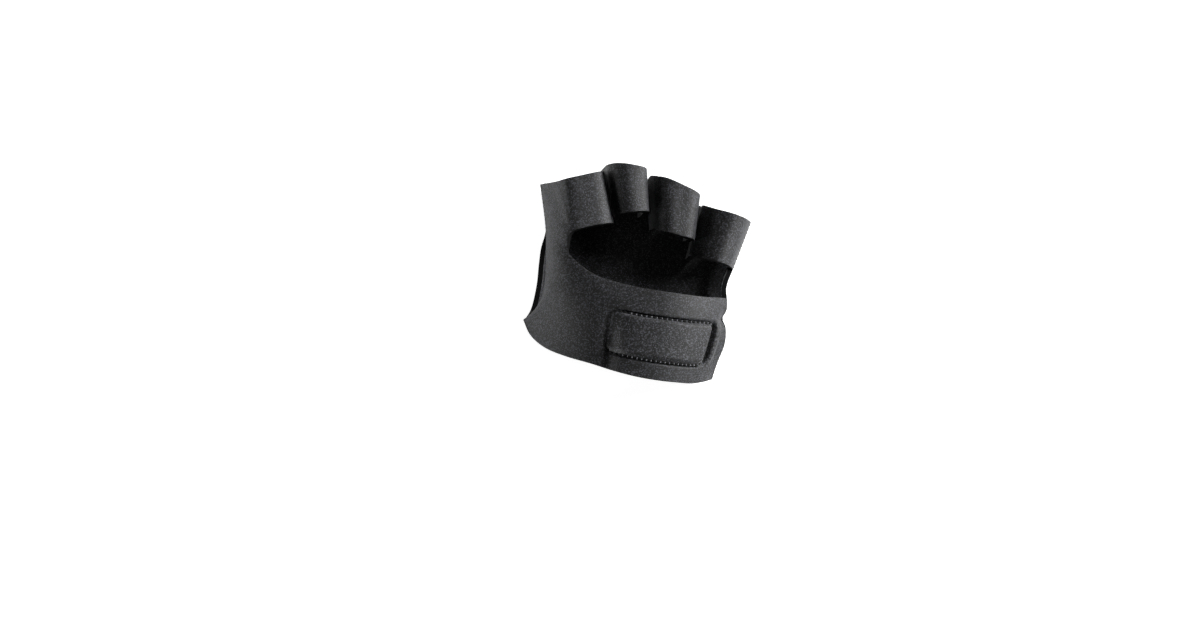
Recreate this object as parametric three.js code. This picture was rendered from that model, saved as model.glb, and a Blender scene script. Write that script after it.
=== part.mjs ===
// A fingerless palm protector for bar work, for a right hand, laid palm down.
// Millimetres. +X runs to the little finger side, +Y to the fingertips, +Z to the back of the hand.
import * as THREE from "three";

// Driving dimensions
const WALL = 2.5; // foam rubber with knit on both faces
const GAP = 0.3; // left between sewn pieces
const SEAT = WALL + GAP; // height of whatever stands on the pad
const PATCH_WALL = 1.2;
const PATCH_CORNER = 3.5; // radius of the label's corners

const INDEX_SEAM = { proximal: 9.2, distal: 6.3 }; // heights of the side seam at the index finger
const LITTLE_SEAM = { proximal: 7.5, distal: 6.3 }; // heights of the side seam at the little finger
const CURL_WIDTH = 9; // width over which the pad's side edges turn up
const CURL_POWER = 2.2;

// Steps of the meshes
const STEPS_PER_ROW = 3;
const PANEL_STEPS_ACROSS = 6;
const LOOP_STEPS_PER_ROW = 2;
const LOOP_STEPS_ACROSS = 5;
const PAD_STEPS_ACROSS = 30;
const PAD_STEPS_UP = 20;
const PAD_EDGE_DENSITY = 0.6; // 0 spaces the pad's columns evenly, 1 packs them at the side edges
const PATCH_STEPS_LONG = 18;
const PATCH_STEPS_WIDE = 5;

// Each finger loop: the lines that its left and right sides stand on, from the wrist side
// (proximal) to the fingertip side (distal), its crest, how far its crest leans to the wrist, and
// the heights of its two feet.
const FINGERS = {
  index: {
    leftProximal: [-43.4, 22],
    leftDistal: [-46.2, 45],
    rightProximal: [-11.7, 26.3],
    rightDistal: [-16.2, 51.3],
    crest: { proximal: 27.7, distal: 26 },
    lean: { proximal: 5.4, distal: 4.7 },
    leftFoot: INDEX_SEAM,
    rightFoot: { proximal: SEAT, distal: SEAT },
  },
  middle: {
    leftProximal: [-13.8, 27.3],
    leftDistal: [-18.2, 51.9],
    rightProximal: [5.1, 29.3],
    rightDistal: [4.2, 49.1],
    crest: { proximal: 25.5, distal: 25.5 },
    lean: { proximal: 1.6, distal: 0 },
    leftFoot: { proximal: SEAT, distal: SEAT },
    rightFoot: { proximal: SEAT, distal: SEAT },
  },
  ring: {
    leftProximal: [5.4, 23.3],
    leftDistal: [3.6, 47.2],
    rightProximal: [26.3, 17.4],
    rightDistal: [29.3, 36.4],
    crest: { proximal: 24, distal: 24 },
    lean: { proximal: 3.3, distal: -0.9 },
    leftFoot: { proximal: SEAT, distal: SEAT },
    rightFoot: { proximal: SEAT, distal: SEAT },
  },
  little: {
    leftProximal: [22.4, 9.1],
    leftDistal: [29, 34.3],
    rightProximal: [45.3, 3.2],
    rightDistal: [54.1, 26.3],
    crest: { proximal: 21.5, distal: 21.5 },
    lean: { proximal: 1.4, distal: 2.2 },
    leftFoot: { proximal: SEAT, distal: SEAT },
    rightFoot: LITTLE_SEAM,
  },
};

// Half sections of a loop, from a foot to the crest: the share of the loop's width, an inset in
// millimetres that doesn't grow with the width, and the share of the rise.
const HALF_COLUMNS = ["across", "inset", "rise"];
const OVERHANGING_RIGHT = [
  [1, -2.3, 0],
  [1, -0.7, 0.35],
  [1, 0, 0.68],
  [0.88, 0, 0.84],
  [0.7, 0, 0.95],
  [0.47, 0, 1],
];
const FOLDED_RIGHT = [
  [1, -2.3, 0],
  [1, -0.7, 0.35],
  [1, 0, 0.67],
  [0.92, 0, 0.84],
  [0.79, 0, 0.95],
  [0.57, 0, 1],
];
const LEANING_LEFT = [
  [0, 0.4, 0],
  [0, 1.5, 0.23],
  [0, 2.7, 0.47],
  [0.2, 0, 0.74],
  [0.36, 0, 0.93],
];
const SLANTED_LEFT = [
  [0, 0.4, 0],
  [0, 1.5, 0.23],
  [0, 2.7, 0.47],
  [0.2, 0, 0.75],
  [0.32, 0, 0.93],
];
const SEAMED_RIGHT = [
  [1, 0, 0],
  [0.96, 0, 0.38],
  [0.87, 0, 0.76],
  [0.75, 0, 0.95],
  [0.6, 0, 1],
];
const UPRIGHT_LEFT = [
  [0, 0.4, 0],
  [0, 1.2, 0.25],
  [0, 2.2, 0.55],
  [0.3, 0, 0.86],
];

// Sections of the back panel from the index finger's crest on: down the finger's left side, along
// the neck and across the back of the hand to the little finger side. Each section runs from the
// window's edge (inner) to the free edge (outer) and swells by its crown.
const PANEL_COLUMNS = ["innerX", "innerY", "innerZ", "outerX", "outerY", "outerZ", "crown"];
const PANEL_SECTIONS = [
  [-28.7, 17.7, 27.8, -33.2, 42.9, 25.9, 0],
  [-30.5, 16.9, 27.6, -37.5, 42.7, 21.6, 0.4],
  [-31.4, 16.2, 27.4, -41.0, 43.6, 15.4, 0.6],
  [-32.5, 14.3, 27.4, -46.2, 45.0, 6.3, 0.8],
  [-33.0, 12.3, 27.5, -44.7, 34.1, 7.6, 1.0],
  [-33.0, 10.3, 27.8, -43.4, 22.0, 9.2, 1.6],
  [-32.7, 8.0, 28.2, -43.2, 11.4, 12.8, 2.2],
  [-31.6, 5.5, 28.8, -43.2, 2.3, 14.3, 2.8],
  [-29.0, 2.4, 29.8, -43.8, -5.9, 14.0, 3.4],
  [-25.8, -0.5, 30.6, -45.4, -12.0, 12.3, 4.2],
  [-22.7, -3.0, 31.3, -49.0, -17.2, 9.2, 4.8],
  [-20.2, -4.6, 31.7, -53.9, -20.8, 5.7, 5.9],
  [-18.1, -5.7, 32.0, -50.5, -28.9, 10.2, 5.6],
  [-15.8, -6.6, 32.2, -43.3, -36.6, 17.5, 4.8],
  [-13.0, -7.5, 32.5, -33.4, -42.0, 24.0, 3.5],
  [-9.3, -8.7, 32.8, -22.2, -46.2, 28.7, 2.2],
  [-2.8, -10.4, 33.0, -11.6, -49.9, 31.0, 1.2],
  [5.5, -12.0, 32.8, -2.4, -52.4, 31.5, 0.9],
  [15.3, -13.2, 31.5, 7.3, -54.0, 30.0, 0.9],
  [24.6, -13.8, 28.0, 16.6, -54.6, 26.5, 1.0],
  [32.7, -13.5, 22.6, 24.6, -54.2, 21.0, 1.3],
  [38.1, -12.4, 16.6, 30.2, -52.4, 15.0, 1.7],
  [42.2, -11.3, 9.7, 34.9, -49.7, 7.3, 2.0],
];
const PANEL_ROW = { indexCorner: 3, seamEnd: 5, slitEnd: 10, wingCorner: 11, wing: 12, bandStart: 15 };

// The label's corners, in rows of the panel past the band's start and in shares of its width.
const PATCH_CORNERS = {
  upperLeft: [0.15, 0.33],
  lowerLeft: [0.35, 0.8],
  upperRight: [5.65, 0.3],
  lowerRight: [5.42, 0.785],
};

// The pad's edges: plan points and, along the two sides, the height of the turned up rim.
const PAD_LEFT_FREE = [
  [-53.4, -20.8, 5.3],
  [-50.4, -16.2, 6.9],
  [-47.6, -4.6, 8.5],
  [-46.6, 5, 9.3],
  [-45.6, 13, 9.4],
];
const PAD_RIGHT_FREE = [
  [41.9, -7.4, 9.3],
  [42.7, -3.4, 8.8],
];
const PAD_DISTAL = [
  [-31, 47.4],
  [-16, 50],
  [-5, 50.3],
  [4, 48],
  [16, 42.3],
  [29, 36],
  [41, 30.2],
];
const PAD_PROXIMAL = [
  [-50.2, -27],
  [-41, -33],
  [-25, -38],
  [-8, -42.5],
  [10, -46],
  [25, -48.6],
];

const KNIT_COLOUR = 0x3a3b3e;
const PAD_COLOUR = 0x303134;
const PATCH_COLOUR = 0x37383b;

const named = (columns, rows) =>
  rows.map((row) => Object.fromEntries(columns.map((column, i) => [column, row[i]])));
const vector = ([x, y, z = 0]) => new THREE.Vector3(x, y, z);
const mix = THREE.MathUtils.lerp;

// A smooth curve through points, broken at the corners, as a function of the row number.
function edgeThrough(points, corners = []) {
  const stops = [0, ...corners, points.length - 1];
  const pieces = stops.slice(1).map((last, k) => ({
    first: stops[k],
    last,
    curve: new THREE.CatmullRomCurve3(points.slice(stops[k], last + 1), false, "centripetal"),
  }));
  return (row) => {
    const piece = pieces.find(({ last }) => row <= last) ?? pieces[pieces.length - 1];
    const share = (row - piece.first) / (piece.last - piece.first);
    return piece.curve.getPoint(THREE.MathUtils.clamp(share, 0, 1));
  };
}

// A closed sheet. face(s, w) is its outer side, s along and w across, both from 0 to 1. The inner
// side lies one wall further in, and settle moves a point of either side to where it rests.
function sheet(face, stepsAlong, stepsAcross, wall, settle = (point) => point) {
  const rows = stepsAlong + 1;
  const columns = stepsAcross + 1;
  const outer = [];
  for (let i = 0; i < rows; i += 1) {
    for (let j = 0; j < columns; j += 1) outer.push(face(i / stepsAlong, j / stepsAcross));
  }
  const at = (i, j) => i * columns + j;
  const between = (i0, j0, i1, j1) => outer[at(i1, j1)].clone().sub(outer[at(i0, j0)]);
  const normal = (i, j) => {
    const across = between(i, Math.max(j - 1, 0), i, Math.min(j + 1, stepsAcross));
    const along = between(Math.max(i - 1, 0), j, Math.min(i + 1, stepsAlong), j);
    return across.cross(along).normalize();
  };
  const inner = outer.map((point, k) =>
    point.clone().addScaledVector(normal(Math.floor(k / columns), k % columns), -wall),
  );
  const settled = (point, k) => settle(point, Math.floor(k / columns) / stepsAlong, (k % columns) / stepsAcross);
  const points = [...outer.map(settled), ...inner.map(settled)];

  const below = rows * columns;
  const triangles = [];
  const quad = (a, b, c, d) => triangles.push(a, b, c, a, c, d);
  for (let i = 0; i < stepsAlong; i += 1) {
    for (let j = 0; j < stepsAcross; j += 1) {
      quad(at(i, j), at(i, j + 1), at(i + 1, j + 1), at(i + 1, j));
      quad(below + at(i, j), below + at(i + 1, j), below + at(i + 1, j + 1), below + at(i, j + 1));
    }
  }
  const cutEdge = (a, b) => quad(b, a, below + a, below + b);
  for (let j = 0; j < stepsAcross; j += 1) {
    cutEdge(at(0, j), at(0, j + 1));
    cutEdge(at(stepsAlong, j + 1), at(stepsAlong, j));
  }
  for (let i = 0; i < stepsAlong; i += 1) {
    cutEdge(at(i + 1, 0), at(i, 0));
    cutEdge(at(i, stepsAcross), at(i + 1, stepsAcross));
  }

  const geometry = new THREE.BufferGeometry();
  geometry.setAttribute("position", new THREE.Float32BufferAttribute(points.flatMap((p) => [...p]), 3));
  geometry.setIndex(triangles);
  geometry.computeVertexNormals();
  return geometry;
}

// A point of a finger loop's rim: end is "proximal" or "distal".
function rimPoint(finger, { across, inset, rise }, crestAcross, end) {
  const [leftX, leftY] = end === "proximal" ? finger.leftProximal : finger.leftDistal;
  const [rightX, rightY] = end === "proximal" ? finger.rightProximal : finger.rightDistal;
  const foot = across > crestAcross ? finger.rightFoot[end] : finger.leftFoot[end];
  return new THREE.Vector3(
    mix(leftX, rightX, across) + inset,
    mix(leftY, rightY, across) - finger.lean[end] * rise,
    mix(foot, finger.crest[end], rise),
  );
}

function rimPoints(finger, rows, crestAcross, end) {
  return named(HALF_COLUMNS, rows).map((row) => rimPoint(finger, row, crestAcross, end));
}

// A strip arched over one finger, from its right foot over the crest to its left foot.
function loopGeometry(finger, right, left) {
  const rows = [...right, ...left.slice().reverse()];
  const crestAcross = right[right.length - 1][0];
  const proximal = edgeThrough(rimPoints(finger, rows, crestAcross, "proximal"));
  const distal = edgeThrough(rimPoints(finger, rows, crestAcross, "distal"));
  const lastRow = rows.length - 1;
  const face = (s, w) => proximal(s * lastRow).lerp(distal(s * lastRow), w);
  const settle = (point, s, w) => {
    const foot = s < 0.5 ? finger.rightFoot : finger.leftFoot;
    point.z = Math.max(point.z, mix(foot.proximal, foot.distal, w));
    return point;
  };
  return sheet(face, lastRow * LOOP_STEPS_PER_ROW, LOOP_STEPS_ACROSS, WALL, settle);
}

// The back panel starts at the index finger's right foot.
const indexCrest = OVERHANGING_RIGHT[OVERHANGING_RIGHT.length - 1][0];
const panelSections = named(PANEL_COLUMNS, PANEL_SECTIONS);
const indexRight = OVERHANGING_RIGHT.slice(0, -1); // its crest is the panel's first section
const panelStart = indexRight.length;
const panelInner = edgeThrough([
  ...rimPoints(FINGERS.index, indexRight, indexCrest, "proximal"),
  ...panelSections.map((row) => vector([row.innerX, row.innerY, row.innerZ])),
]);
const panelOuter = edgeThrough(
  [
    ...rimPoints(FINGERS.index, indexRight, indexCrest, "distal"),
    ...panelSections.map((row) => vector([row.outerX, row.outerY, row.outerZ])),
  ],
  [panelStart + PANEL_ROW.indexCorner, panelStart + PANEL_ROW.wingCorner],
);
const crowns = [...indexRight.map(() => 0), ...panelSections.map((row) => row.crown)];
const panelRows = crowns.length - 1;
const crownCurve = new THREE.SplineCurve(crowns.map((crown, row) => new THREE.Vector2(row, crown)));

const NORMAL_REACH = 1.5; // rows to each side that the direction of the swell is taken over
function panelNormal(row) {
  const before = Math.max(row - NORMAL_REACH, 0);
  const after = Math.min(row + NORMAL_REACH, panelRows);
  const middle = (at) => panelInner(at).lerp(panelOuter(at), 0.5);
  const across = panelOuter(row).sub(panelInner(row));
  return across.cross(middle(after).sub(middle(before))).normalize();
}

// A point of a section that swells by its crown, fullest on the window's side of the middle.
const CROWN_SKEW = 0.8;
function crownedPoint(row, w) {
  const swell = crownCurve.getPoint(row / panelRows).y * Math.sin(Math.PI * w ** CROWN_SKEW);
  return panelInner(row).lerp(panelOuter(row), w).addScaledVector(panelNormal(row), swell);
}

// A point of the panel's outer side, by row and by share of the way from the window's edge.
// Between the edges, the fold that would run in from the wing's corner is rounded off.
const ROUNDING_WEIGHTS = [1, 2, 3, 4, 3, 2, 1]; // of the sections around, one row apart
const ROUNDED_ROWS = 6;
const wingCornerRow = panelStart + PANEL_ROW.wingCorner;
function panelPoint(row, w) {
  const point = crownedPoint(row, w);
  const nearness = 1 - THREE.MathUtils.smoothstep(Math.abs(row - wingCornerRow), 0, ROUNDED_ROWS);
  if (nearness === 0) return point;
  const total = ROUNDING_WEIGHTS.reduce((sum, weight) => sum + weight);
  const rounded = ROUNDING_WEIGHTS.reduce(
    (sum, weight, k) =>
      sum.addScaledVector(crownedPoint(row + k - (ROUNDING_WEIGHTS.length - 1) / 2, w), weight / total),
    new THREE.Vector3(),
  );
  return point.lerp(rounded, nearness * Math.sin(Math.PI * w));
}

function panelGeometry() {
  const settle = (point, s, w) => {
    const row = s * panelRows;
    const onPad = row < 1 || row > panelRows - 1;
    const fromCorner = row - panelStart;
    const sideSeam = fromCorner >= PANEL_ROW.indexCorner && fromCorner <= PANEL_ROW.seamEnd;
    const webSeam = fromCorner >= PANEL_ROW.slitEnd && fromCorner <= PANEL_ROW.wing;
    if (onPad) point.z = Math.max(point.z, row < 1 ? SEAT : panelPoint(panelRows, w).z);
    if (w === 1 && (sideSeam || webSeam)) point.z = Math.max(point.z, panelOuter(row).z);
    return point;
  };
  const face = (s, w) => panelPoint(s * panelRows, w);
  return sheet(face, panelRows * STEPS_PER_ROW, PANEL_STEPS_ACROSS, WALL, settle);
}

// The pad's side edges follow the panel's and the loops' feet where they are sewn together.
function lowered(point, height = point.z - GAP) {
  return new THREE.Vector3(point.x, point.y, height);
}

const seamRows = [PANEL_ROW.seamEnd, PANEL_ROW.seamEnd - 1, PANEL_ROW.indexCorner];
const padLeft = new THREE.CatmullRomCurve3(
  [...PAD_LEFT_FREE.map(vector), ...seamRows.map((row) => lowered(panelOuter(panelStart + row)))],
  false,
  "centripetal",
);
const BAND_END_SHARES = [1, 0.75, 0.5, 0.25, 0];
const padRight = new THREE.CatmullRomCurve3(
  [
    ...BAND_END_SHARES.map((w) => lowered(panelPoint(panelRows, w))),
    ...PAD_RIGHT_FREE.map(vector),
    vector([...FINGERS.little.rightProximal, LITTLE_SEAM.proximal - GAP]),
    vector([...FINGERS.little.rightDistal, LITTLE_SEAM.distal - GAP]),
  ],
  false,
  "centripetal",
);

function padGeometry() {
  const left = (v) => padLeft.getPointAt(v);
  const right = (v) => padRight.getPointAt(v);
  const flat = (point) => new THREE.Vector3(point.x, point.y, 0);
  const between = (from, points, to) =>
    new THREE.CatmullRomCurve3([flat(from), ...points.map(vector), flat(to)], false, "centripetal");
  const proximal = between(left(0), PAD_PROXIMAL, right(0));
  const distal = between(left(1), PAD_DISTAL, right(1));
  const curl = (distance) => Math.max(0, 1 - distance / CURL_WIDTH) ** CURL_POWER;
  const spread = (s) => s - (PAD_EDGE_DENSITY * Math.sin(2 * Math.PI * s)) / (2 * Math.PI);

  const face = (s, v) => {
    const u = spread(s);
    const sides = left(v).lerp(right(v), u);
    const ends = proximal.getPointAt(u).lerp(distal.getPointAt(u), v);
    const corners = flat(left(0)).lerp(flat(right(0)), u).lerp(flat(left(1)).lerp(flat(right(1)), u), v);
    const point = flat(sides).add(ends).sub(corners);
    const width = flat(left(v)).distanceTo(flat(right(v)));
    point.z = left(v).z * curl(u * width) + right(v).z * curl((1 - u) * width);
    return point;
  };
  const settle = (point, s, v) => {
    if (s === 0) point.z = Math.min(point.z, left(v).z);
    if (s === 1) point.z = Math.min(point.z, right(v).z);
    return point;
  };
  return sheet(face, PAD_STEPS_ACROSS, PAD_STEPS_UP, WALL, settle);
}

// A flat patch with round corners that follows the band.
function patchGeometry() {
  const first = panelStart + PANEL_ROW.bandStart;
  const { upperLeft, lowerLeft, upperRight, lowerRight } = PATCH_CORNERS;
  const place = (u, v) => {
    const row = mix(mix(upperLeft[0], upperRight[0], u), mix(lowerLeft[0], lowerRight[0], u), v);
    const share = mix(mix(upperLeft[1], upperRight[1], u), mix(lowerLeft[1], lowerRight[1], u), v);
    return [first + row, share];
  };
  const length = panelPoint(...place(0, 0.5)).distanceTo(panelPoint(...place(1, 0.5)));
  const width = panelPoint(...place(0.5, 0)).distanceTo(panelPoint(...place(0.5, 1)));
  const face = (s, w) => {
    const u = (1 - Math.cos(Math.PI * s)) / 2;
    const fromEnd = Math.min(u, 1 - u) * length;
    const reach = Math.max(0, 1 - fromEnd / PATCH_CORNER);
    const cut = (PATCH_CORNER / width) * (1 - Math.sqrt(1 - reach * reach));
    const [row, share] = place(u, mix(cut, 1 - cut, w));
    return panelPoint(row, share).addScaledVector(panelNormal(row), GAP + PATCH_WALL);
  };
  return sheet(face, PATCH_STEPS_LONG, PATCH_STEPS_WIDE, PATCH_WALL);
}

const cloth = (colour) => new THREE.MeshStandardMaterial({ color: colour, roughness: 0.9, metalness: 0 });
const glove = new THREE.Group();
function addPiece(name, geometry, colour) {
  const mesh = new THREE.Mesh(geometry, cloth(colour));
  mesh.name = name;
  glove.add(mesh);
}

addPiece("palm_pad", padGeometry(), PAD_COLOUR);
addPiece("back_panel", panelGeometry(), KNIT_COLOUR);
addPiece("middle_loop", loopGeometry(FINGERS.middle, FOLDED_RIGHT, LEANING_LEFT), KNIT_COLOUR);
addPiece("ring_loop", loopGeometry(FINGERS.ring, OVERHANGING_RIGHT, SLANTED_LEFT), KNIT_COLOUR);
addPiece("little_loop", loopGeometry(FINGERS.little, SEAMED_RIGHT, UPRIGHT_LEFT), KNIT_COLOUR);
addPiece("label_patch", patchGeometry(), PATCH_COLOUR);

// The origin is under the middle of the glove's box, on the surface it lies on.
const box = new THREE.Box3().setFromObject(glove);
const middle = box.getCenter(new THREE.Vector3());
glove.position.set(-middle.x, -middle.y, -box.min.z);

const part = new THREE.Group();
part.add(glove);
export default part;
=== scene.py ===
import math

import bmesh
import bpy
import numpy as np
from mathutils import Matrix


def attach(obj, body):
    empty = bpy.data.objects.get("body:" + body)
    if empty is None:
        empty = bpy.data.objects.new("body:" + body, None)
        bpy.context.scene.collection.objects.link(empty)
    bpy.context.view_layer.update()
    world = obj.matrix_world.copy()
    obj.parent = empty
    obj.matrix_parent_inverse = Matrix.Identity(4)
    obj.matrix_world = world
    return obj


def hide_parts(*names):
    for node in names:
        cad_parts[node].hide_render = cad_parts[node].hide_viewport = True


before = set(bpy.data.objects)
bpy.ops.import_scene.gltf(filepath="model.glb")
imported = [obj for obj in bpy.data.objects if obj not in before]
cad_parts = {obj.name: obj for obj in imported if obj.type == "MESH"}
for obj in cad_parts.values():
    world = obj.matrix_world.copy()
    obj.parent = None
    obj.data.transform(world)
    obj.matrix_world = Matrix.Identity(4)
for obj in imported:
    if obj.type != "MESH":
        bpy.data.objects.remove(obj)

# A fingerless palm protector for bar work, cut from knit faced foam rubber, laid pad down.
# Lengths are millimetres in the maker's frame, unless a comment says otherwise. +X runs to the
# little loop's side, +Y from the band to the loops, and +Z up from the pad. The near side of a
# piece is the one towards the band's free edge, and the far side is the other one.
MM = 0.001
SHIFT = np.array([-0.1, 1.119, 0.0])  # from the maker's frame to the shared one
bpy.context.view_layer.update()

WALL = 2.5
THINNEST = 0.8  # where a seam presses the sheet together
GAP = 0.3
SEAT = WALL + GAP
SEAM_LAP = 0.02  # how far the pad's rim is pressed into the sheet that is sewn to it
INDEX_SEAM = (9.2, 6.3)  # heights at the near side and the far side
LITTLE_SEAM = (7.5, 6.3)
FLAT_SEAM = (SEAT, SEAT)
CURL_WIDTH = 9.0
CURL_POWER = 2.2
EDGE_ROUND = 0.32  # rounding of a cut edge

# Loops: plan points of their left and right foot at the near side and the far side, crest heights,
# how far the crest leans to the near side, and the heights of the two feet.
LOOPS = {
    "index": dict(left=((-43.4, 22), (-46.2, 45)), right=((-11.7, 26.3), (-16.2, 51.3)),
                  crest=(27.7, 26), lean=(5.4, 4.7), left_foot=INDEX_SEAM, right_foot=FLAT_SEAM),
    "middle": dict(left=((-13.8, 27.3), (-18.2, 51.9)), right=((5.1, 29.3), (4.2, 49.1)),
                   crest=(25.5, 25.5), lean=(1.6, 0), left_foot=FLAT_SEAM, right_foot=FLAT_SEAM),
    "ring": dict(left=((5.4, 23.3), (3.6, 47.2)), right=((26.3, 17.4), (29.3, 36.4)),
                 crest=(24, 24), lean=(3.3, -0.9), left_foot=FLAT_SEAM, right_foot=FLAT_SEAM),
    "little": dict(left=((22.4, 9.1), (29, 34.3)), right=((45.3, 3.2), (54.1, 26.3)),
                   crest=(21.5, 21.5), lean=(1.4, 2.2), left_foot=FLAT_SEAM, right_foot=LITTLE_SEAM),
}

# Half sections of a loop from foot to crest: share across, inset in millimetres, share of the rise.
OVERHANGING_RIGHT = [
    (1, -2.3, 0), (1, -0.7, 0.35), (1, 0, 0.68), (0.88, 0, 0.84), (0.7, 0, 0.95), (0.47, 0, 1),
]
FOLDED_RIGHT = [
    (1, -2.3, 0), (1, -0.7, 0.35), (1, 0, 0.67), (0.92, 0, 0.84), (0.79, 0, 0.95), (0.57, 0, 1),
]
LEANING_LEFT = [(0, 0.4, 0), (0, 1.5, 0.23), (0, 2.7, 0.47), (0.2, 0, 0.74), (0.36, 0, 0.93)]
SLANTED_LEFT = [(0, 0.4, 0), (0, 1.5, 0.23), (0, 2.7, 0.47), (0.2, 0, 0.75), (0.32, 0, 0.93)]
SEAMED_RIGHT = [(1, 0, 0), (0.96, 0, 0.38), (0.87, 0, 0.76), (0.75, 0, 0.95), (0.6, 0, 1)]
UPRIGHT_LEFT = [(0, 0.4, 0), (0, 1.2, 0.25), (0, 2.2, 0.55), (0.3, 0, 0.86)]

# Back panel from the index loop's crest on: window edge, free edge and swell of each section.
PANEL_SECTIONS = [
    ((-28.7, 17.7, 27.8), (-33.2, 42.9, 25.9), 0),
    ((-30.5, 16.9, 27.6), (-37.5, 42.7, 21.6), 0.4),
    ((-31.4, 16.2, 27.4), (-41.0, 43.6, 15.4), 0.6),
    ((-32.5, 14.3, 27.4), (-46.2, 45.0, 6.3), 0.8),
    ((-33.0, 12.3, 27.5), (-44.7, 34.1, 7.6), 1.0),
    ((-33.0, 10.3, 27.8), (-43.4, 22.0, 9.2), 1.6),
    ((-32.7, 8.0, 28.2), (-43.2, 11.4, 12.8), 2.2),
    ((-31.6, 5.5, 28.8), (-43.2, 2.3, 14.3), 2.8),
    ((-29.0, 2.4, 29.8), (-43.8, -5.9, 14.0), 3.4),
    ((-25.8, -0.5, 30.6), (-45.4, -12.0, 12.3), 4.2),
    ((-22.7, -3.0, 31.3), (-49.0, -17.2, 9.2), 4.8),
    ((-20.2, -4.6, 31.7), (-53.9, -20.8, 5.7), 5.9),
    ((-18.1, -5.7, 32.0), (-50.5, -28.9, 10.2), 5.6),
    ((-15.8, -6.6, 32.2), (-43.3, -36.6, 17.5), 4.8),
    ((-13.0, -7.5, 32.5), (-33.4, -42.0, 24.0), 3.5),
    ((-9.3, -8.7, 32.8), (-22.2, -46.2, 28.7), 2.2),
    ((-2.8, -10.4, 33.0), (-11.6, -49.9, 31.0), 1.2),
    ((5.5, -12.0, 32.8), (-2.4, -52.4, 31.5), 0.9),
    ((15.3, -13.2, 31.5), (7.3, -54.0, 30.0), 0.9),
    ((24.6, -13.8, 28.0), (16.6, -54.6, 26.5), 1.0),
    ((32.7, -13.5, 22.6), (24.6, -54.2, 21.0), 1.3),
    ((38.1, -12.4, 16.6), (30.2, -52.4, 15.0), 1.7),
    ((42.2, -11.3, 9.7), (34.9, -49.7, 7.3), 2.0),
]
INDEX_RIGHT = OVERHANGING_RIGHT[:-1]
PANEL_START = len(INDEX_RIGHT)
INDEX_CORNER = PANEL_START + 3
SIDE_SEAM_END = PANEL_START + 5
SLIT_END = PANEL_START + 10
WING_CORNER = PANEL_START + 11
WING = PANEL_START + 12
BAND_START = PANEL_START + 15
PANEL_ROWS = PANEL_START + len(PANEL_SECTIONS) - 1
NORMAL_REACH = 1.5  # rows
CROWN_SKEW = 0.8
ROUNDING_WEIGHTS = np.array([1, 2, 3, 4, 3, 2, 1]) / 16
ROUNDED_ROWS = 6
NO_FLOOR = -1.0

# The label's corners: rows past the band's start, and shares of the panel's width.
LABEL_UPPER = ((0.15, 0.33), (5.65, 0.3))
LABEL_LOWER = ((0.35, 0.8), (5.42, 0.785))
LABEL_CORNER = 3.5
LABEL_WALL = 1.2
LABEL_HEIGHT = GAP + LABEL_WALL
# How far its own coordinates reach past it, as shares of its length and width.
REACH_ALONG = (-1.2, 1.5)
REACH_ACROSS = (-1.5, 2.5)
RULER_STEPS = 270
NEARING_ROUNDS = 8

# The pad's edges in plan, the two sides with the height of their turned up rim.
PAD_LEFT_FREE = [
    (-53.4, -20.8, 5.3), (-50.4, -16.2, 6.9), (-47.6, -4.6, 8.5), (-46.6, 5, 9.3), (-45.6, 13, 9.4),
]
PAD_RIGHT_FREE = [(41.9, -7.4, 9.3), (42.7, -3.4, 8.8)]
PAD_DISTAL = [(-31, 47.4), (-16, 50), (-5, 50.3), (4, 48), (16, 42.3), (29, 36), (41, 30.2)]
PAD_PROXIMAL = [(-50.2, -27), (-41, -33), (-25, -38), (-8, -42.5), (10, -46), (25, -48.6)]
BAND_END_POINTS = 5
BAND_END_SHARE = 0.5  # share of the pad's right rim that the band's end takes
LENGTH_STEPS = 400


# Curves and surfaces
def cubic(start, end, leaving, arriving, t):
    """A cubic from start to end with the slopes at both."""
    third = 2 * start - 2 * end + leaving + arriving
    second = -3 * start + 3 * end - 2 * leaving - arriving
    return ((third * t + second) * t + leaving) * t + start


def smooth_curve(points, at):
    """Places on a centripetal curve through the points, at counts along them."""
    points = np.asarray(points, float)
    at = np.clip(np.asarray(at, float), 0, len(points) - 1)
    first = np.minimum(at.astype(int), len(points) - 2)
    t = (at - first)[..., None]
    ends = np.vstack([2 * points[:1] - points[1:2], points, 2 * points[-1:] - points[-2:-1]])
    p0, p1, p2, p3 = (ends[first + k] for k in range(4))
    d0, d1, d2 = (
        np.sqrt(np.linalg.norm(b - a, axis=-1, keepdims=True)) for a, b in ((p0, p1), (p1, p2), (p2, p3))
    )
    leaving = ((p1 - p0) / d0 - (p2 - p0) / (d0 + d1) + (p2 - p1) / d1) * d1
    arriving = ((p2 - p1) / d1 - (p3 - p1) / (d1 + d2) + (p3 - p2) / d2) * d1
    return cubic(p1, p2, leaving, arriving, t)


def edge_curve(points, corners, at):
    """As smooth_curve, but broken at the corners."""
    at = np.asarray(at, float)
    stops = [0, *corners, len(points) - 1]
    place = np.zeros(at.shape + (3,))
    for first, last in zip(stops, stops[1:]):
        here = (at > first) & (at <= last) if first else at <= last
        place[here] = smooth_curve(points[first : last + 1], at[here] - first)
    return place


def length_along(points):
    """The length of a line from its first point to each of its points."""
    return np.concatenate([[0], np.cumsum(np.linalg.norm(np.diff(points, axis=0), axis=1))])


def by_length(points, share):
    """Places on a smooth curve through the points, by share of its length."""
    fine = smooth_curve(points, np.linspace(0, len(points) - 1, LENGTH_STEPS))
    run = length_along(fine)
    at = np.asarray(share) * run[-1]
    return np.stack([np.interp(at, run, fine[:, k]) for k in range(3)], axis=-1)


def unit(vectors):
    return vectors / np.maximum(np.linalg.norm(vectors, axis=-1, keepdims=True), 1e-9)


def blend(a, b, share):
    share = np.asarray(share, float)[..., None]
    return a * (1 - share) + b * share


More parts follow.
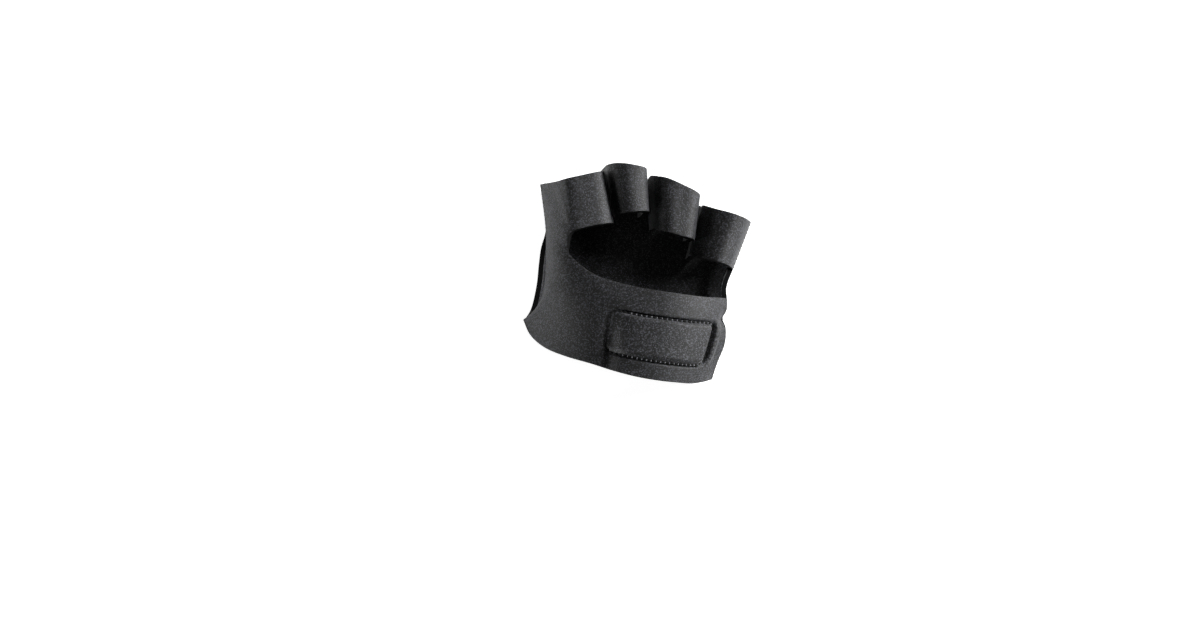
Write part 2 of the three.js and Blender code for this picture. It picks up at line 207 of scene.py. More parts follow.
def smoothstep(x, low, high):
    t = np.clip((x - low) / (high - low), 0, 1)
    return t * t * (3 - 2 * t)


def hump(x, middle, spread, height=1.0, power=2):
    """A smooth rise round the middle. A higher power makes its top flatter and its sides steeper."""
    return height * np.exp(-(np.abs((x - middle) / spread) ** power))


def rim_points(loop, section, crest_across, end):
    """A loop's rim at the near side (end 0) or the far side (end 1)."""
    points = []
    for across, inset, rise in section:
        foot = loop["right_foot"] if across > crest_across else loop["left_foot"]
        (left_x, left_y), (right_x, right_y) = loop["left"][end], loop["right"][end]
        points.append((
            left_x + (right_x - left_x) * across + inset,
            left_y + (right_y - left_y) * across - loop["lean"][end] * rise,
            foot[end] + (loop["crest"][end] - foot[end]) * rise,
        ))
    return points


def loop_surface(loop, right, left):
    """A loop's outer side from its right foot over the crest to the left one, and how it is seated."""
    section = [*right, *left[::-1]]
    rims = [rim_points(loop, section, right[-1][0], end) for end in (0, 1)]
    rows = len(section) - 1

    def face(s, w):
        return blend(smooth_curve(rims[0], s * rows), smooth_curve(rims[1], s * rows), w)

    def settle(point, s, w):
        near_foot = np.where(s < 0.5, loop["right_foot"][0], loop["left_foot"][0])
        far_foot = np.where(s < 0.5, loop["right_foot"][1], loop["left_foot"][1])
        point[..., 2] = np.maximum(point[..., 2], near_foot * (1 - w) + far_foot * w)
        return point

    return face, settle


INDEX_CREST = OVERHANGING_RIGHT[-1][0]
PANEL_INNER = rim_points(LOOPS["index"], INDEX_RIGHT, INDEX_CREST, 0) + [s[0] for s in PANEL_SECTIONS]
PANEL_OUTER = rim_points(LOOPS["index"], INDEX_RIGHT, INDEX_CREST, 1) + [s[1] for s in PANEL_SECTIONS]
CROWNS = np.array([0.0] * PANEL_START + [s[2] for s in PANEL_SECTIONS])


def panel_inner(row):
    return smooth_curve(PANEL_INNER, row)


def panel_outer(row):
    return edge_curve(PANEL_OUTER, [INDEX_CORNER, WING_CORNER], row)


def panel_crown(row):
    """How far the panel swells between its two edges."""
    row = np.clip(row, 0, PANEL_ROWS)
    first = np.minimum(row.astype(int), PANEL_ROWS - 1)
    p0, p1, p2, p3 = (CROWNS[np.clip(first + k, 0, PANEL_ROWS)] for k in (-1, 0, 1, 2))
    return cubic(p1, p2, (p2 - p0) / 2, (p3 - p1) / 2, row - first)


def panel_normal(row):
    before = np.clip(row - NORMAL_REACH, 0, PANEL_ROWS)
    after = np.clip(row + NORMAL_REACH, 0, PANEL_ROWS)
    along = (panel_inner(after) + panel_outer(after) - panel_inner(before) - panel_outer(before)) / 2
    return unit(np.cross(panel_outer(row) - panel_inner(row), along))


def crowned_point(row, w):
    swell = panel_crown(row) * np.sin(np.pi * w**CROWN_SKEW)
    return blend(panel_inner(row), panel_outer(row), w) + panel_normal(row) * swell[..., None]


def panel_point(row, w):
    """A place on the back panel's outer side, w from 0 at the window to 1 at the free edge."""
    row = np.asarray(row, float)
    w = np.asarray(w, float) + np.zeros_like(row)
    nearness = 1 - smoothstep(np.abs(row - WING_CORNER), 0, ROUNDED_ROWS)
    middle = (len(ROUNDING_WEIGHTS) - 1) / 2
    rounded = sum(
        weight * crowned_point(np.clip(row + k - middle, 0, PANEL_ROWS), w)
        for k, weight in enumerate(ROUNDING_WEIGHTS)
    )
    return blend(crowned_point(row, w), rounded, nearness * np.sin(np.pi * w))


def panel_face(s, w):
    return panel_point(s * PANEL_ROWS, w)


def panel_settle(point, s, w):
    """Seats the panel's foot, its two side seams and the band's end."""
    row = s * PANEL_ROWS
    from_end = panel_point(np.full_like(w, PANEL_ROWS), w)[..., 2]
    floor = np.where(row < 1, SEAT, np.where(row > PANEL_ROWS - 1, from_end, NO_FLOOR))
    seam = ((row >= INDEX_CORNER) & (row <= SIDE_SEAM_END)) | ((row >= SLIT_END) & (row <= WING))
    floor = np.where((w >= 1) & seam, panel_outer(row)[..., 2], floor)
    point[..., 2] = np.where(s >= 1, from_end, np.maximum(point[..., 2], floor))
    return point


def pad_surface():
    """The pad between its two rims, which curl up, and its two ends, and how its rims are seated."""
    def lapped(x, y, z):
        return (x, y, z + SEAM_LAP)

    seam_rows = [SIDE_SEAM_END, SIDE_SEAM_END - 1, INDEX_CORNER]
    left_rim = PAD_LEFT_FREE + [lapped(*panel_outer(np.array(float(row)))) for row in seam_rows]
    band_end = [lapped(*panel_point(float(PANEL_ROWS), w)) for w in np.linspace(1, 0, BAND_END_POINTS)]
    little_seam = [
        lapped(*place, height) for place, height in zip(LOOPS["little"]["right"], LITTLE_SEAM)
    ]
    right_rim = band_end + PAD_RIGHT_FREE + little_seam
    flat = np.array([1, 1, 0])

    def between(start, points, end):
        return [start * flat, *((x, y, 0) for x, y in points), end * flat]

    corners = [np.array(rim[end], float) for rim in (left_rim, right_rim) for end in (0, -1)]
    near = between(corners[0], PAD_PROXIMAL, corners[2])
    far = between(corners[1], PAD_DISTAL, corners[3])

    def curl(distance):
        return np.maximum(0, 1 - distance / CURL_WIDTH) ** CURL_POWER

    def face(s, v):
        left, right = by_length(left_rim, v), by_length(right_rim, v)
        sides = blend(left, right, s) * flat
        ends = blend(by_length(near, s), by_length(far, s), v)
        plane = blend(blend(corners[0], corners[2], s), blend(corners[1], corners[3], s), v) * flat
        point = sides + ends - plane
        width = np.linalg.norm((left - right) * flat, axis=-1)
        point[..., 2] = left[..., 2] * curl(s * width) + right[..., 2] * curl((1 - s) * width)
        return point

    def settle(point, s, v):
        for at_rim, rim in ((s <= 0, left_rim), (s >= 1, right_rim)):
            point[..., 2] = np.where(at_rim, by_length(rim, v)[..., 2], point[..., 2])
        return point

    return face, settle


# The label's place on the panel
def label_rows(v):
    """Rows past the band's start of the label's left and right end, v from 0 to 1 down the label."""
    (left_up, _), (right_up, _) = LABEL_UPPER
    (left_low, _), (right_low, _) = LABEL_LOWER
    return left_up + (left_low - left_up) * v, right_up + (right_low - right_up) * v


def label_shares(u):
    """Shares of the panel's width at the label's upper and lower edge, u from 0 to 1 along it."""
    (_, left_up), (_, right_up) = LABEL_UPPER
    (_, left_low), (_, right_low) = LABEL_LOWER
    return left_up + (right_up - left_up) * u, left_low + (right_low - left_low) * u


def label_spot(u, v):
    """Row and share of the panel at a place of the label."""
    left, right = label_rows(v)
    upper, lower = label_shares(u)
    return BAND_START + left + (right - left) * u, upper + (lower - upper) * v


RULER = np.linspace(*REACH_ALONG, RULER_STEPS + 1)
ruler_run = length_along(panel_point(*label_spot(RULER, np.full_like(RULER, 0.5))))
LEFT_END, RIGHT_END = np.interp([0, 1], RULER, ruler_run)
ruler_run -= (LEFT_END + RIGHT_END) / 2
UPPER_SIDE, LOWER_SIDE = (panel_point(*label_spot(np.array(0.5), np.array(v))) for v in (0.0, 1.0))
LABEL_LENGTH = RIGHT_END - LEFT_END
LABEL_WIDTH = np.linalg.norm(LOWER_SIDE - UPPER_SIDE)
HALF_LENGTH = LABEL_LENGTH / 2
HALF_WIDTH = LABEL_WIDTH / 2


def label_place(row, share):
    """Millimetres along and across the label from its middle, for a place on the panel near it."""
    u = np.full_like(row, 0.5)
    for _ in range(NEARING_ROUNDS):
        upper, lower = label_shares(u)
        v = np.clip((share - upper) / (lower - upper), *REACH_ACROSS)
        left, right = label_rows(v)
        u = np.clip((row - BAND_START - left) / (right - left), *REACH_ALONG)
    return np.interp(u, RULER, ruler_run), (v - 0.5) * LABEL_WIDTH


def outside_label(x, y):
    """Distance outside the label's rounded outline, negative inside."""
    over_x = np.abs(x) - HALF_LENGTH + LABEL_CORNER
    over_y = np.abs(y) - HALF_WIDTH + LABEL_CORNER
    beyond = np.hypot(np.maximum(over_x, 0), np.maximum(over_y, 0))
    return beyond + np.minimum(np.maximum(over_x, over_y), 0) - LABEL_CORNER


# Low relief of the sewn sheets: humps, heights in millimetres
BAND_END_BULGE = dict(middle=0.55, spread=0.18, height=1.4)  # shares of the band's width
BAND_END_TUCK = dict(middle=0.25, spread=0.075, height=-2.2)
BAND_END_ON_PANEL = dict(middle=PANEL_ROWS, spread=0.6)  # rows
BAND_END_ON_PAD = dict(middle=1.0, spread=0.05)  # share across the pad
INDEX_SHOULDER = dict(middle=2.8, spread=0.9, height=1.2)  # rows
LOOP_SHOULDER = dict(middle=0.28, spread=0.09, height=1.1)  # share along the loop
LEFT_DIP = dict(middle=2.5 - HALF_LENGTH, spread=4.8, height=-2.3)  # along the label
GROOVE = dict(middle=0.3, spread=0.7)  # this and the next three: distance outside the label
VALLEY = dict(middle=1.6, spread=1.4, height=-3.0, power=4)
ROLL = dict(middle=5.0, spread=2.0, height=1.2)
RIBS = dict(middle=4.5, spread=2.5, height=0.09)
RIB_SPACING = 2.1
GROOVE_DEPTH = 0.15  # at the label's left end
GROOVE_DEEPENING = 1.75  # further right

# Ramps of the relief, from where it starts to where it is full or gone.
ON_BAND = (BAND_START - 3, BAND_START - 1)  # rows
DIP_ACROSS = (-HALF_WIDTH - 5, HALF_WIDTH - 3)
GROOVE_ALONG = (-HALF_LENGTH, -HALF_LENGTH + 16)
PAST_RIGHT_END = (HALF_LENGTH - 3, HALF_LENGTH + 0.5)
BESIDE_RIGHT_END = (HALF_WIDTH - 4.5, HALF_WIDTH + 2.5)
OFF_FEET = (0.05, 0.3)  # shares along a loop

# Waves of a worn loop: height, turns in radians along and across it, and start.
LOOP_WAVES = [(0.16, 9.0, 3.0, 0.0), (0.04, 17.0, -5.0, 1.0)]


def left_dip(x, y):
    """A broad dent under the label's left end, deeper towards the free edge."""
    return hump(x, **LEFT_DIP) * smoothstep(y, *DIP_ACROSS)


def band_end_relief(w):
    """The tuck and the bulge of the seam at the band's end."""
    return hump(w, **BAND_END_BULGE) + hump(w, **BAND_END_TUCK)


def panel_relief(s, w):
    """The index loop's swell, the groove and dent at the label, the valley and the roll past its end."""
    row = s * PANEL_ROWS
    x, y = label_place(row, w)
    away = outside_label(x, y)
    groove = -(GROOVE_DEPTH + GROOVE_DEEPENING * smoothstep(x, *GROOVE_ALONG)) * hump(away, **GROOVE)
    ribs = np.sin(2 * np.pi * y / RIB_SPACING) * hump(away, **RIBS)
    beyond_end = smoothstep(x, *PAST_RIGHT_END) * (1 - smoothstep(np.abs(y), *BESIDE_RIGHT_END))
    right_end = (hump(away, **VALLEY) + hump(away, **ROLL) + ribs) * beyond_end
    band_end = band_end_relief(w) * hump(row, **BAND_END_ON_PANEL)
    band = groove + left_dip(x, y) + band_end + right_end
    return hump(row, **INDEX_SHOULDER) + band * smoothstep(row, *ON_BAND)


def pad_relief(s, v):
    """The pad follows the band's end that is sewn to it."""
    return band_end_relief(1 - v / BAND_END_SHARE) * hump(s, **BAND_END_ON_PAD)


def loop_relief(s, w):
    """The slight waves of a worn loop, less towards its sewn feet."""
    waves = sum(
        height * np.sin(along * s + across * w + start) for height, along, across, start in LOOP_WAVES
    )
    return waves * smoothstep(np.minimum(s, 1 - s), *OFF_FEET)


def shouldered_relief(s, w):
    """A loop that swells over its neighbour on the right."""
    return loop_relief(s, w) + hump(s, **LOOP_SHOULDER)


# Making meshes
def deselect():
    for each in bpy.context.selected_objects:
        each.select_set(False)


def select_only(piece):
    deselect()
    piece.select_set(True)
    bpy.context.view_layer.objects.active = piece


def new_piece(name, points, faces):
    mesh = bpy.data.meshes.new(name)
    mesh.from_pydata((points + SHIFT) * MM, [], faces)
    piece = bpy.data.objects.new(name, mesh)
    bpy.context.collection.objects.link(piece)
    select_only(piece)
    bpy.ops.object.shade_smooth()
    return piece


def new_sheet(name, outer, inner):
    """A closed sheet from the grids of its two sides. The faces of its cut sides come last."""
    rows, columns = outer.shape[:2]
    count = rows * columns
    upper = np.arange(count).reshape(rows, columns)
    lower = upper + count
    upper_faces = np.stack([upper[:-1, :-1], upper[:-1, 1:], upper[1:, 1:], upper[1:, :-1]], -1)
    lower_faces = np.stack([lower[:-1, :-1], lower[1:, :-1], lower[1:, 1:], lower[:-1, 1:]], -1)
    rim = np.concatenate([upper[0, :], upper[1:, -1], upper[-1, -2::-1], upper[-2:0:-1, 0]])
    following = np.roll(rim, -1)
    cut_sides = np.stack([following, rim, rim + count, following + count], -1)
    faces = np.vstack([upper_faces.reshape(-1, 4), lower_faces.reshape(-1, 4), cut_sides])
    return new_piece(name, np.vstack([outer.reshape(-1, 3), inner.reshape(-1, 3)]), faces.tolist())


def cut_sheet(name, face, settle, relief, along, across):
    """A closed sheet of foam rubber with rounded cut edges, from the function of its outer side.

    relief(s, w) raises both sides, along and across are the stations of its grid from 0 to 1.
    """
    s, w = np.meshgrid(along, across, indexing="ij")
    outer = face(s, w)
    normal = unit(np.cross(np.gradient(outer, axis=1), np.gradient(outer, axis=0)))
    height = relief(s, w)[..., None]
    inner = outer - normal * WALL + normal * np.minimum(0, height + WALL - THINNEST)
    outer = outer + normal * height
    piece = new_sheet(name, settle(outer, s, w), settle(inner, s, w))

    cut_sides = 2 * sum(s.shape) - 4
    for polygon in piece.data.polygons[len(piece.data.polygons) - cut_sides :]:
        polygon.material_index = 1
    round_edges(piece)
    return piece


def round_edges(piece):
    """Bevels the edges where a cut side meets a knit face."""
    select_only(piece)
    bpy.ops.object.mode_set(mode="EDIT")
    bpy.ops.mesh.select_mode(type="EDGE")
    bpy.ops.mesh.select_all(action="DESELECT")
    edited = bmesh.from_edit_mesh(piece.data)
    for edge in edited.edges:
        sides = {face.material_index for face in edge.link_faces}
        edge.select_set(len(sides) == 2)
    bmesh.update_edit_mesh(piece.data)
    bpy.ops.mesh.bevel(
        offset=EDGE_ROUND * MM, segments=2, profile=0.5, affect="EDGES", clamp_overlap=True, material=1
    )
    bpy.ops.object.mode_set(mode="OBJECT")
    bpy.ops.object.shade_smooth()


# Camera, floor and lights, in metres
FLOOR_DROP = 0.0001

deselect()
bpy.ops.object.camera_add(location=(-0.017725, -0.294829, 1.313511), rotation=(math.radians(12), 0, 0))
camera = bpy.context.object
camera.name = "camera"
camera.data.lens = 85
camera.data.sensor_width = 36
bpy.context.scene.camera = camera

bpy.ops.mesh.primitive_plane_add(size=8, location=(0, 0, -FLOOR_DROP))
floor = bpy.context.object
floor.name = "floor"


def softbox(name, azimuth, elevation, distance, width, height, power):
    """An area light aimed at the glove, from azimuth 0 at the band or 90 at the little loop's side."""
    turn, rise = math.radians(azimuth), math.radians(elevation)
    away = (math.sin(turn) * math.cos(rise), -math.cos(turn) * math.cos(rise), math.sin(rise))
    bpy.ops.object.light_add(
        type="AREA",
        location=[distance * k for k in away],
        rotation=(math.pi / 2 - rise, 0, turn),
    )
    light = bpy.context.object
    light.name = name
    light.data.shape = "RECTANGLE"
    light.data.size = width
    light.data.size_y = height
    light.data.energy = power


softbox("right_softbox", azimuth=114, elevation=22, distance=1.2, width=0.8, height=0.25, power=31)
softbox("left_softbox", azimuth=-70, elevation=8, distance=1.2, width=0.8, height=0.28, power=11.5)
bpy.context.scene.view_settings.view_transform = "Standard"


# Materials
def linear(hex_colour):
    """An sRGB hex colour as a linear one."""
    channels = [int(hex_colour[k : k + 2], 16) / 255 for k in (1, 3, 5)]
    return [c / 12.92 if c <= 0.04045 else ((c + 0.055) / 1.055) ** 2.4 for c in channels] + [1.0]


def fill(tree, made, inputs):
    """Fills a node's inputs with values or with other nodes' outputs."""
    for key, value in inputs.items():
        if isinstance(value, bpy.types.NodeSocket):
            tree.links.new(value, made.inputs[key])
        else:
            made.inputs[key].default_value = value


def node(tree, kind, inputs=(), **settings):
    """Adds a node with its settings and its inputs."""
    made = tree.nodes.new(kind)
    for key, value in settings.items():
        setattr(made, key, value)
    fill(tree, made, dict(inputs))
    return made


def new_material(name, finish):
    """A material, its finish given as values of the shader's own sockets."""
    made = bpy.data.materials.new(name)
    made.use_nodes = True
    fill(made.node_tree, made.node_tree.nodes["Principled BSDF"], finish)
    return made


KNIT_WIDTH = 0.5  # of one loop of yarn in millimetres, as in the real jersey
KNIT_DEPTH = 0.06
KNIT_LIGHTEST = 0.7  # where in the pattern's range a loop of yarn is at its lightest


def knit_material(name, dark, light, sheen):
    """Polyester jersey on foam rubber: each loop of black yarn is a tiny dome, some grey, which is partly
    the yarn's own grain and partly a painted glint.
    """
    made = new_material(name, {
        "Roughness": 0.6,
        "Specular IOR Level": 0.36,
        "Sheen Weight": sheen,
        "Sheen Roughness": 0.3,
        "Sheen Tint": linear("#f0f1f5"),
    })
    tree = made.node_tree
    place = node(tree, "ShaderNodeTexCoord").outputs["Object"]
    loops = node(
        tree, "ShaderNodeTexVoronoi", {"Vector": place, "Scale": 1 / (KNIT_WIDTH * MM), "Randomness": 0.9}
    )
    glint = node(tree, "ShaderNodeSeparateColor", {"Color": loops.outputs["Color"]}).outputs["Red"]
    domes = node(
        tree, "ShaderNodeMath", {0: glint, 1: loops.outputs["Distance"]}, operation="SUBTRACT"
    ).outputs["Value"]
    # The ramp paints the loops from black to grey. The grey is partly the yarn's random grain and partly a
    # painted glint of its fibres.
    ramp = node(tree, "ShaderNodeValToRGB", {"Fac": domes})
    for stop, position, colour in zip(ramp.color_ramp.elements, (0.0, KNIT_LIGHTEST), (dark, light)):
        stop.position = position
        stop.color = linear(colour)
    bump = node(tree, "ShaderNodeBump", {"Height": domes, "Strength": 1.0, "Distance": KNIT_DEPTH * MM})
    fill(
        tree,
        tree.nodes["Principled BSDF"],
        {"Base Color": ramp.outputs["Color"], "Normal": bump.outputs["Normal"]},
    )
    return made


# The light colour is the grey of the lightest loops: partly yarn grain, partly painted glint.
black_knit = knit_material("black_polyester_knit", dark="#070708", light="#494a50", sheen=0.25)
# The label's cloth is a little greyer than the sheets.
label_knit = knit_material("black_label_knit", dark="#0a0a0b", light="#55565c", sheen=0.28)
# Foam rubber is matt and nearly black where it is cut.
cut_foam = new_material(
    "cut_foam_rubber", {"Base Color": linear("#0b0b0c"), "Roughness": 0.95, "Specular IOR Level": 0.1}
)
# Bonded thread is darker than the knit, so its stitches show as black dashes. Its near black is partly the
# thread's own colour and partly painted shade of the groove round the label, which the stitches cover.
black_thread = new_material(
    "black_bonded_thread", {"Base Color": linear("#050505"), "Roughness": 0.7, "Specular IOR Level": 0.2}
)
# The grey bobbin thread comes up between the label's stitches as light dots.
grey_thread = new_material("grey_bobbin_thread", {"Base Color": linear("#85868b"), "Roughness": 0.6})
# Lit paper, nearly white.
paper = new_material("white_paper_sweep", {
    "Base Color": linear("#e8e8e8"),
    "Roughness": 0.8,
    "Emission Color": linear("#ffffff"),
    "Emission Strength": 0.88,
})
floor.data.materials.append(paper)

# The studio round the glove: white walls at the sides and a dim ceiling. Its heights go from 0 at
# the horizon to 1 overhead.
WALL_TOP, CEILING_START = 0.02, 0.3
WALL_LIGHT, CEILING_LIGHT = 1.0, 0.01
studio = bpy.data.worlds.new("studio")
bpy.context.scene.world = studio
studio.use_nodes = True
sky = studio.node_tree
direction = node(sky, "ShaderNodeTexCoord").outputs["Generated"]
upward = node(sky, "ShaderNodeSeparateXYZ", {"Vector": direction}).outputs["Z"]
walls = node(
    sky,
    "ShaderNodeMapRange",
    {
        "Value": upward,
        "From Min": WALL_TOP,
        "From Max": CEILING_START,
        "To Min": WALL_LIGHT,
        "To Max": CEILING_LIGHT,
    },
    interpolation_type="SMOOTHSTEP",
)
fill(sky, sky.nodes["Background"], {"Color": linear("#ffffff"), "Strength": walls.outputs["Result"]})


# The sheets. Steps of their grids, along and across.
PAD_STEPS = (180, 120)
LOOP_STEPS = (100, 40)
LABEL_STEPS = (200, 80)
PLAIN_ROW_STEPS = 9
FINE_ROW_STEPS = 28
FINE_START = BAND_START - 1
# Across the panel, closer together at the label's two long edges: share and steps to the next one.
PANEL_STOPS = ((0, 22), (0.275, 17), (0.36, 31), (0.75, 15), (0.825, 15), (1, 0))


def even(steps):
    return [np.linspace(0, 1, count + 1) for count in steps]


def panel_stations():
    """Stations along and across the panel, closer together round the label."""
    plain = np.linspace(0, FINE_START, FINE_START * PLAIN_ROW_STEPS + 1)
    fine = np.linspace(FINE_START, PANEL_ROWS, (PANEL_ROWS - FINE_START) * FINE_ROW_STEPS + 1)
    runs = [
        np.linspace(low, high, steps + 1)[:-1]
        for (low, steps), (high, _) in zip(PANEL_STOPS, PANEL_STOPS[1:])
    ]
    return np.concatenate([plain, fine[1:]]) / PANEL_ROWS, np.concatenate([*runs, [1.0]])


pad_face, pad_settle = pad_surface()
pieces = {
    "palm_pad": cut_sheet("palm_protector_pad", pad_face, pad_settle, pad_relief, *even(PAD_STEPS)),
    "back_panel": cut_sheet(
        "back_panel_cloth", panel_face, panel_settle, panel_relief, *panel_stations()
    ),
}
loop_faces = {}
for key, right, left, relief in (
    ("middle", FOLDED_RIGHT, LEANING_LEFT, shouldered_relief),
    ("ring", OVERHANGING_RIGHT, SLANTED_LEFT, shouldered_relief),
    ("little", SEAMED_RIGHT, UPRIGHT_LEFT, loop_relief),
):
    loop_faces[key], loop_settle = loop_surface(LOOPS[key], right, left)
    pieces[key + "_loop"] = cut_sheet(
        key + "_loop_cloth", loop_faces[key], loop_settle, relief, *even(LOOP_STEPS)
    )

for target, piece in pieces.items():
    piece.data.materials.append(black_knit)
    piece.data.materials.append(cut_foam)
    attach(piece, "root")
    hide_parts(target)


# The label: a soft patch that swells between its stitch lines, left bare
LABEL_STITCH = 2.35
EDGE_HEIGHT = -0.6  # where the label's edge is sewn down, and its underside
UNDERSIDE_HEIGHT = -1.3
EDGE_START = 0.3  # outside the outline
EDGE_WIDTH = 2.4
LONG_EDGE = 3.0  # how far the pinches of the long edges reach in
PINCH = dict(middle=0.5, spread=0.5, height=0.14)  # distance inside the outline
FLATTENED = 0.6  # share that the left end is pressed flat
FLATTENED_ALONG = (-HALF_LENGTH, -HALF_LENGTH + 12)


def label_cloth():
    s, w = np.meshgrid(*even(LABEL_STEPS), indexing="ij")
    u = (1 - np.cos(np.pi * s)) / 2
    from_end = np.minimum(u, 1 - u) * LABEL_LENGTH
    reach = np.maximum(0, 1 - from_end / LABEL_CORNER)
    cut = LABEL_CORNER / LABEL_WIDTH * (1 - np.sqrt(1 - reach**2))
    row, share = label_spot(u, cut + (1 - 2 * cut) * w)
    x, y = label_place(row, share)
    inside = -outside_label(x, y)
    along_edge = np.where(np.abs(y) > HALF_WIDTH - LONG_EDGE, x, y)
    pinched = (0.5 + 0.5 * np.cos(2 * np.pi * along_edge / LABEL_STITCH)) * hump(inside, **PINCH)
    rise = np.sin(np.pi / 2 * np.clip((inside + EDGE_START) / EDGE_WIDTH, 0, 1))
    rise = rise * (1 - FLATTENED * (1 - smoothstep(x, *FLATTENED_ALONG)))
    dip = left_dip(x, y)
    height = EDGE_HEIGHT + (LABEL_HEIGHT - EDGE_HEIGHT) * rise - pinched + dip
    surface, normal = panel_point(row, share), panel_normal(row)
    top = surface + normal * height[..., None]
    under = surface + normal * (UNDERSIDE_HEIGHT + dip)[..., None]
    return new_sheet("bare_label", top, under)


# Threads
THREAD_SIDES = 6
THREAD_RINGS = 7
THREAD_END = 0.55  # share of the radius at a thread's two ends
ASLANT = (0.3, 0.2, 1.0)  # a direction that no stitch takes


def threads(name, paths, radius):
    """Short lengths of thread as one mesh. Each path is a few points that the thread bends through."""
    turn = np.linspace(0, 2 * np.pi, THREAD_SIDES, endpoint=False)[:, None]
    last = THREAD_RINGS - 1
    points, faces = [], []
    for path in paths:
        line = smooth_curve(path, np.linspace(0, len(path) - 1, THREAD_RINGS))
        tangent = unit(np.gradient(line, axis=0))
        side = unit(np.cross(tangent, ASLANT))
        up = np.cross(side, tangent)
        rings = [range((len(points) + k) * THREAD_SIDES, (len(points) + k + 1) * THREAD_SIDES)
                 for k in range(THREAD_RINGS)]
        for k, (centre, a, b) in enumerate(zip(line, side, up)):
            size = radius * (THREAD_END if k in (0, last) else 1.0)
            points.append(centre + size * (np.cos(turn) * a + np.sin(turn) * b))
        for ring, following in zip(rings, rings[1:]):
            for j in range(THREAD_SIDES):
                n = (j + 1) % THREAD_SIDES
                faces.append((ring[j], following[j], following[n], ring[n]))
        faces.append(tuple(rings[0]))
        faces.append(tuple(reversed(rings[last])))
    return new_piece(name, np.vstack(points), faces)


# The label's stitches, and the dots of the bobbin thread between them
# The stitches sit just outside the label in its groove. There they are the real stitches and, with their
# black, painted shade of the groove.
STITCH_INSET = -0.2
STITCH_RADIUS = 0.42  # thicker than the real thread, so that the dashes show and their black fills the groove as painted shade
STITCH_HEIGHTS = np.array([-0.75, -0.1, -0.75])  # at its two ends and its middle
STITCH_STEPS = 8
CORNER_STEPS = 12
KNOT_RADIUS = 0.24
KNOT_REACH = 0.4
KNOT_HEIGHTS = np.array([-0.35, 0.1, -0.35])
KNOTS_START = 9.0  # from the label's left end, where the first dot shows
KNOT_EDGE = 1.5  # dots show along the two long edges, this close to them


def label_outline():
    """Places round the label at equal steps, as millimetres along and across, and the count of stitches."""
    half_x, half_y = HALF_LENGTH - STITCH_INSET, HALF_WIDTH - STITCH_INSET
    radius = LABEL_CORNER - STITCH_INSET
    corners = [(half_x, half_y), (-half_x, half_y), (-half_x, -half_y), (half_x, -half_y)]
    line = []
    for quarter, (x, y) in enumerate(corners):
        centre = (x - math.copysign(radius, x), y - math.copysign(radius, y))
        for k in range(CORNER_STEPS + 1):
            turn = (quarter + k / CORNER_STEPS) * math.pi / 2
            line.append((centre[0] + radius * math.cos(turn), centre[1] + radius * math.sin(turn)))
    line = np.array(line + line[:1])
    run = length_along(line)
    count = round(run[-1] / LABEL_STITCH)
    at = np.linspace(0, run[-1], count * STITCH_STEPS + 1)
    return np.stack([np.interp(at, run, line[:, k]) for k in (0, 1)], -1), count


def on_panel(places, height):
    """Points over the band, from millimetres along and across the label."""
    x, y = places.T
    row, share = label_spot(np.interp(x, ruler_run, RULER), y / LABEL_WIDTH + 0.5)
    return panel_point(row, share) + panel_normal(row) * (height + left_dip(x, y))[..., None]


label = label_cloth()
label.data.materials.append(label_knit)
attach(label, "root")
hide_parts("label_patch")

outline, stitch_count = label_outline()
stitch_paths, knot_paths = [], []
for first in range(0, stitch_count * STITCH_STEPS, STITCH_STEPS):
    spots = outline[first : first + STITCH_STEPS + 1 : STITCH_STEPS // 2]
    stitch_paths.append(on_panel(spots, STITCH_HEIGHTS))
    x, y = outline[first]
    if abs(y) > HALF_WIDTH - KNOT_EDGE and x > KNOTS_START - HALF_LENGTH:
        run_x, run_y = outline[first + 1] - outline[first]
        across = KNOT_REACH * unit(np.array([-run_y, run_x]))
        knot_paths.append(on_panel(np.array([(x, y) - across, (x, y), (x, y) + across]), KNOT_HEIGHTS))
label_stitches = threads("label_stitches", stitch_paths, STITCH_RADIUS)
label_stitches.data.materials.append(black_thread)
label_knots = threads("label_stitch_knots", knot_paths, KNOT_RADIUS)
label_knots.data.materials.append(grey_thread)
for piece in (label_stitches, label_knots):
    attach(piece, "root")


# Side seams: over-edge stitches that join a sheet's edge to the pad's rim
SEAM_STITCH = 2.2
SEAM_THREAD = 0.22  # radius
# Distance from the edge and height over the sheet, where a stitch bends over the edge and at its hole.
SEAM_BEND = (0.5, -0.03)
SEAM_HOLE = (1.7, -0.15)
SLOPE_STEP = 0.001
EDGE_STEPS = 200
RIM_STEPS = 500
INWARD = 0.02  # share of a sheet by which the way into it is found
INWARD_BAND = 0.005


def on_sheet(face, relief, s, w, height):
    """Points over the outer side of a sheet."""
    along_s = face(np.minimum(s + SLOPE_STEP, 1), w) - face(np.maximum(s - SLOPE_STEP, 0), w)
    along_w = face(s, np.minimum(w + SLOPE_STEP, 1)) - face(s, np.maximum(w - SLOPE_STEP, 0))
    return face(s, w) + unit(np.cross(along_w, along_s)) * (relief(s, w) + height)[..., None]


def stitch_ends(face, relief, s, w, into):
    """Where stitches bend over a sheet's edge, and where they go into the sheet."""
    reach = np.linalg.norm(face(s + into[0], w + into[1]) - face(s, w), axis=-1)
    places = []
    for distance, height in (SEAM_BEND, SEAM_HOLE):
        share = distance / reach
        places.append(on_sheet(face, relief, s + into[0] * share, w + into[1] * share, height))
    return places


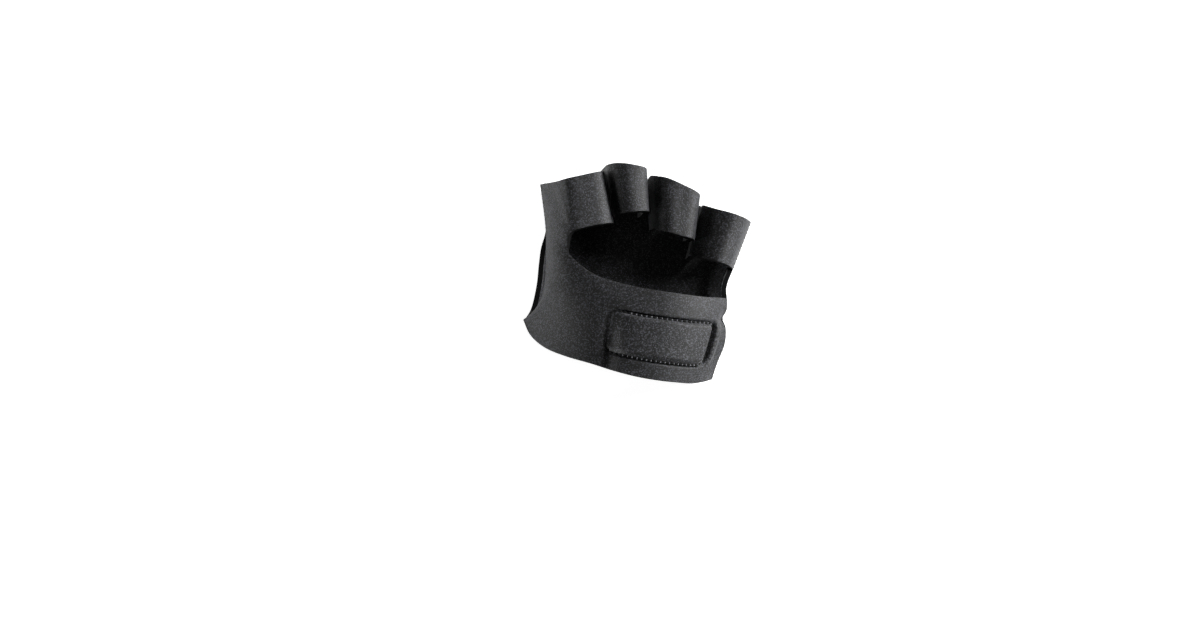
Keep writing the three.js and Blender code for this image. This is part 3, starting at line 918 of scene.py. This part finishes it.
def seam_stitches(name, face, relief, start, end, into, pad_side):
    """Slanted stitches from the edge between two places of a sheet to the pad's left or right rim."""
    shares = np.linspace(0, 1, EDGE_STEPS)
    run_s, run_w = (np.interp(shares, [0, 1], [start[k], end[k]]) for k in (0, 1))
    run = length_along(face(run_s, run_w))
    count = round(run[-1] / SEAM_STITCH)
    stations = (np.arange(2 * count) + 0.5) / (2 * count) * run[-1]
    s, w = np.interp(stations, run, run_s), np.interp(stations, run, run_w)
    upper_bend, upper_hole = stitch_ends(face, relief, s, w, into)

    rim_shares = np.linspace(0, 1, RIM_STEPS)
    rim = on_sheet(pad_face, pad_relief, np.full_like(rim_shares, pad_side), rim_shares, 0)
    edge = on_sheet(face, relief, s, w, 0)
    nearest = rim_shares[np.argmin(np.linalg.norm(rim[None] - edge[:, None], axis=2), axis=1)]
    into_pad = (INWARD if pad_side == 0 else -INWARD, 0)
    at_side = np.full_like(nearest, pad_side)
    lower_bend, lower_hole = stitch_ends(pad_face, pad_relief, at_side, nearest, into_pad)
    paths = [
        np.array([upper_hole[k], upper_bend[k], lower_bend[k + 1], lower_hole[k + 1]])
        for k in range(0, 2 * count, 2)
    ]
    piece = threads(name, paths, SEAM_THREAD)
    piece.data.materials.append(black_thread)
    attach(piece, "root")


def free_edge(row):
    return row / PANEL_ROWS, 1


seam_stitches(
    "band_end_stitches", panel_face, panel_relief,
    start=(1, 0), end=(1, 1), into=(-INWARD_BAND, 0), pad_side=1,
)
seam_stitches(
    "little_loop_stitches", loop_faces["little"], loop_relief,
    start=(0, 0), end=(0, 1), into=(INWARD, 0), pad_side=1,
)
seam_stitches(
    "index_side_stitches", panel_face, panel_relief,
    start=free_edge(INDEX_CORNER), end=free_edge(SIDE_SEAM_END), into=(0, -INWARD), pad_side=0,
)
seam_stitches(
    "thumb_web_stitches", panel_face, panel_relief,
    start=free_edge(SLIT_END), end=free_edge(WING), into=(0, -INWARD), pad_side=0,
)

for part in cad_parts.values():
    part.data.materials.clear()
    part.data.materials.append(black_knit)
